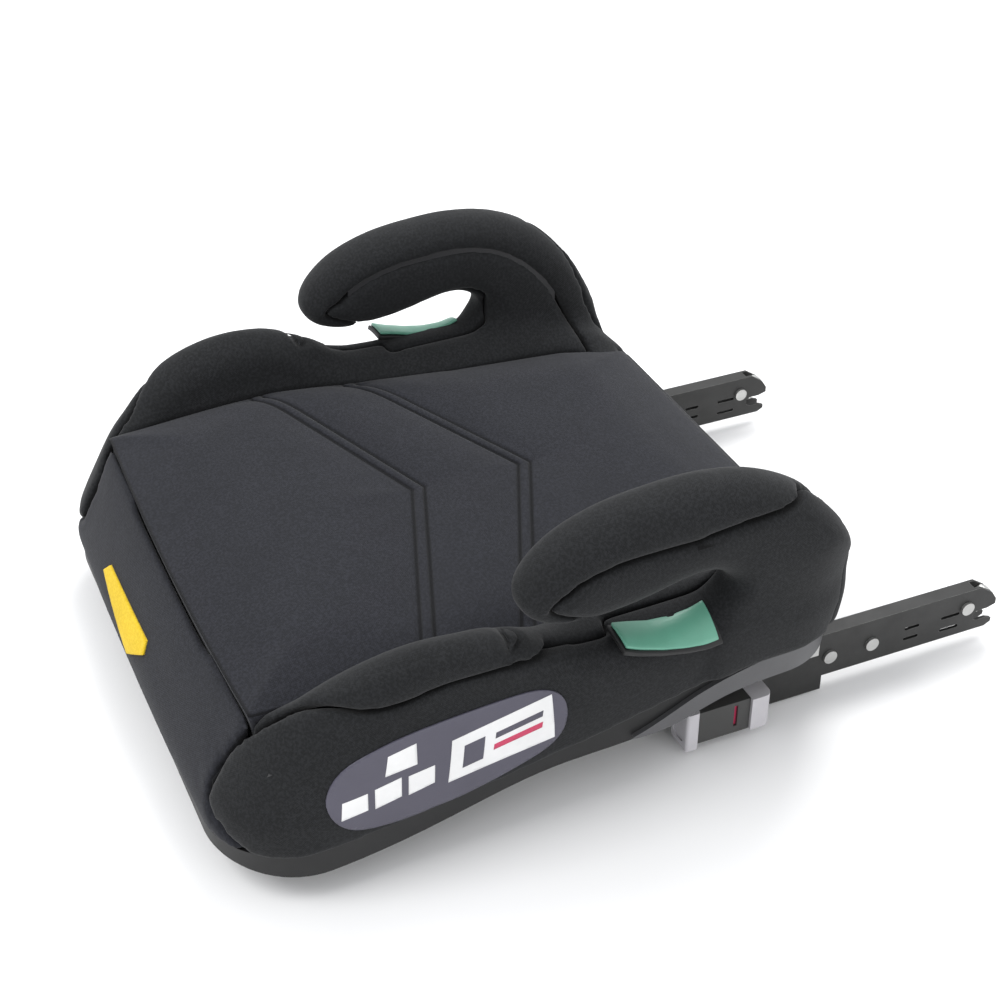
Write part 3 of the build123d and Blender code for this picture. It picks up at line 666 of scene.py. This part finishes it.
def patch(name, outline, place, lift, thickness, material, step=2.0):
    """Thin piece cut to a flat outline and laid on a curved surface, which place finds. It reaches a
    little below its own surface, so no gap shows along its rim."""
    flat = np.array(outline, float)
    shape = bmesh.new()
    shape.faces.new([shape.verts.new((a, b, 0)) for a, b in flat])
    for axis in (0, 1):
        low, high = flat[:, axis].min(), flat[:, axis].max()
        for at in np.arange(low + step, high, step):
            normal = (1, 0, 0) if axis == 0 else (0, 1, 0)
            point = (at, 0, 0) if axis == 0 else (0, at, 0)
            everything = shape.verts[:] + shape.edges[:] + shape.faces[:]
            bmesh.ops.bisect_plane(shape, geom=everything, plane_co=point, plane_no=normal)
    shape.verts.index_update()
    points = np.array([v.co for v in shape.verts])
    faces = [[v.index for v in face.verts] for face in shape.faces]
    border = [[v.index for v in edge.verts] for edge in shape.edges if edge.is_boundary]
    shape.free()
    count = len(points)
    top = place(points[:, 0], points[:, 1], lift + thickness)
    under = place(points[:, 0], points[:, 1], lift - 1.0)
    quads = [[a, b, b + count, a + count] for a, b in border]
    faces = faces + [[v + count for v in face[::-1]] for face in faces] + quads
    return build(name, np.concatenate([top, under]), faces, material)


def on_side(y, z, lift):
    """Points on the left side panel."""
    starts = [Vector((OUTSIDE, b, c)) * MM for b, c in zip(y, z)]
    hits = [SIDE_SURFACE.ray_cast(at, Vector((-1, 0, 0)))[0].x for at in starts]
    return np.stack([np.array(hits) / MM + lift, y, z], -1)


def on_front(x, z, lift):
    """Points on the front panel."""
    starts = [Vector((a, -OUTSIDE, c)) * MM for a, c in zip(x, z)]
    hits = [FRONT_SURFACE.ray_cast(at, Vector((0, 1, 0)))[0].y for at in starts]
    return np.stack([x, np.array(hits) / MM - lift, z], -1)


OUTSIDE = 230.0                             # a distance beyond the body, to look back from
SIDE_SURFACE = covering(bpy.data.objects["side_cover_left_fabric"])
FRONT_SURFACE = covering(bpy.data.objects["front_cover_fabric"])
label = patch("side_label", curve(LABEL, 5), on_side, 0.6, 0.3, SLOTS["label_film"])
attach(label, "base")
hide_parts("instruction_label")

WHITE_FILM = plastic("printed_white", (226, 226, 226), 0.4, bump=0.05)
PICTURES = {
    "label_picture_a": ([(-68, 62), (-66, 92), (-8, 102), (-5, 70)], 0.0, WHITE_FILM),
    "label_bar_a": ([(-60, 70), (-59, 86), (-47, 88), (-48, 72)], 0.15, SLOTS["label_film"]),
    "label_bar_b": ([(-42, 76), (-41.6, 80), (-13, 85), (-13.4, 81)], 0.15, SLOTS["red_plastic"]),
    "label_bar_c": ([(-41, 84), (-40.6, 88), (-13, 93), (-13.4, 89)], 0.15, SLOTS["label_film"]),
    "label_picture_b": ([(-129, 60), (-128, 72), (-114, 74), (-114, 62)], 0.0, WHITE_FILM),
    "label_picture_c": ([(-110, 61), (-110, 75), (-95, 78), (-95, 64)], 0.0, WHITE_FILM),
    "label_picture_d": ([(-91, 63), (-91, 77), (-76, 79), (-76, 66)], 0.0, WHITE_FILM),
    "label_picture_e": ([(-104, 82), (-102, 95), (-86, 98), (-86, 84)], 0.0, WHITE_FILM),
}
for name, (outline, raised, film) in PICTURES.items():
    picture = patch(name, outline, on_side, 1.0 + raised, 0.15, film)
    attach(picture, "base")

tag = patch("pennant_tag", TAG, on_front, 0.8, 0.7, SLOTS["tag_fabric"])
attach(tag, "base")
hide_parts("front_tag")


# Belt guides: a green plate over the lip of each slot, on a dark moulded back. Each row is the
# place along Y, then x and z of the plate's inner, middle and outer edge.
GUIDE = [
    (34, 172, 124.5, 184, 124.5, 191.0, 122.0), (42, 172, 122.8, 184, 122.5, 191.5, 118.5),
    (56, 172, 119.0, 184, 118.8, 192.0, 114.0), (70, 172, 118.0, 184, 117.2, 192.0, 110.5),
    (82, 172, 119.5, 184, 117.8, 192.0, 109.0), (90, 172, 122.5, 184, 119.5, 192.0, 110.0),
]


def guide_plate(name, way, material, thickness, sink, grow):
    """Curved plate through the guide's rows, sunk and grown by a little, with rounded edges."""
    rows = np.array(GUIDE, float)
    middle = rows[:, 0].mean()
    y = np.linspace(rows[0, 0] - grow, rows[-1, 0] + grow, 19)
    at = (y - middle) * (rows[-1, 0] - middle) / (y[-1] - middle) + middle
    edges_at = [[np.interp(at, rows[:, 0], rows[:, k]) for k in (1 + 2 * n, 2 + 2 * n)] for n in range(3)]
    share = np.linspace(0, 1, 11)
    grid = np.zeros((len(y), len(share), 3))
    for c, t in enumerate(share):
        weights = ((1 - t) ** 2, 2 * t * (1 - t), t * t)
        x = sum(w * e[0] for w, e in zip(weights, edges_at)) + grow * (2 * t - 1) * 0.6
        z = sum(w * e[1] for w, e in zip(weights, edges_at)) - sink
        grid[:, c] = np.stack([x * way, y, z], -1)
    number = np.arange(len(y) * len(share)).reshape(len(y), len(share))
    piece = build(name, grid.reshape(-1, 3), sheet_faces(number), material)
    solid = piece.modifiers.new("Thickness", "SOLIDIFY")
    solid.thickness, solid.offset = thickness * MM, 0.0
    soft = piece.modifiers.new("Round", "BEVEL")
    soft.width, soft.segments = 0.6 * MM, 2
    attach(piece, "base")
    return piece


for hand, way in (("left", 1), ("right", -1)):
    plate = guide_plate(f"belt_guide_plate_{hand}", way, SLOTS["guide_plastic"], 2.0, 0.0, 0.0)
    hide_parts(f"belt_guide_{hand}")
    back = guide_plate(f"belt_guide_back_{hand}", way, SLOTS["base_plastic"], 3.0, 2.6, 2.0)
    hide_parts(f"belt_guide_body_{hand}")

# Every CAD node takes the material of its slot
for part in frame["record"]["subparts"]:
    own = nodes[part["node"]].data.materials
    own.clear()
    own.append(SLOTS[part["material_slot"]])


# Springs of the release buttons: each is copied from the frame's spring and tied to its arm
for hand in ("left", "right"):
    spring = nodes[f"release_spring_{hand}"]
    coil = bpy.data.objects.new(f"return_coil_{hand}", spring.data.copy())
    bpy.context.scene.collection.objects.link(coil)
    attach(coil, f"arm_{hand}")
    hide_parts(f"release_spring_{hand}")
    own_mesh(coil)


# ---------------------------------------------------------------- camera, light and floor
def lamp(name, place, size, power):
    """Soft square light aimed at the seat."""
    light = bpy.data.lights.new(name, "AREA")
    light.size, light.energy = size, power
    holder = bpy.data.objects.new(name, light)
    holder.location = place
    holder.rotation_euler = (Vector(AIM) - Vector(place)).to_track_quat("-Z", "Y").to_euler()
    bpy.context.scene.collection.objects.link(holder)


AIM = (0, 0, 0.1)

camera = bpy.data.objects.new("camera", bpy.data.cameras.new("camera"))
camera.location = (0.8506, -0.3330, 0.7376)
camera.rotation_euler = (math.radians(55.3), 0, math.radians(66))
camera.data.lens = 66.0
camera.data.sensor_width = 36.0
bpy.context.scene.collection.objects.link(camera)
bpy.context.scene.camera = camera

lamp("key", (0.2, -1.3, 1.8), 1.0, 22)
lamp("fill", (2.0, 0.6, 0.8), 1.4, 9)
lamp("top", (-0.8, 0.7, 1.9), 1.0, 26)
bpy.context.scene.view_settings.view_transform = "Standard"

world = bpy.data.worlds.new("studio")
world.use_nodes = True
world.node_tree.nodes["Background"].inputs["Color"].default_value = (0.93, 0.94, 0.96, 1)
world.node_tree.nodes["Background"].inputs["Strength"].default_value = 1.0
bpy.context.scene.world = world

paper, paper_tree, paper_shader = start("paper_floor")
tint = noise(paper_tree, node(paper_tree, "TexCoord").outputs["Object"], 3.0, 3.0)
shade = mix(paper_tree, ramp(paper_tree, tint, 0.3, 0.7), (0.86, 0.86, 0.86, 1), (0.9, 0.9, 0.9, 1))
paper_tree.links.new(shade, paper_shader.inputs["Base Color"])
paper_shader.inputs["Roughness"].default_value = 0.9
REACH = 20000                               # half the floor's width
corners = np.array([(-1, -1, 0), (1, -1, 0), (1, 1, 0), (-1, 1, 0)]) * REACH
floor = build("floor", corners, [(0, 1, 2, 3)], paper)
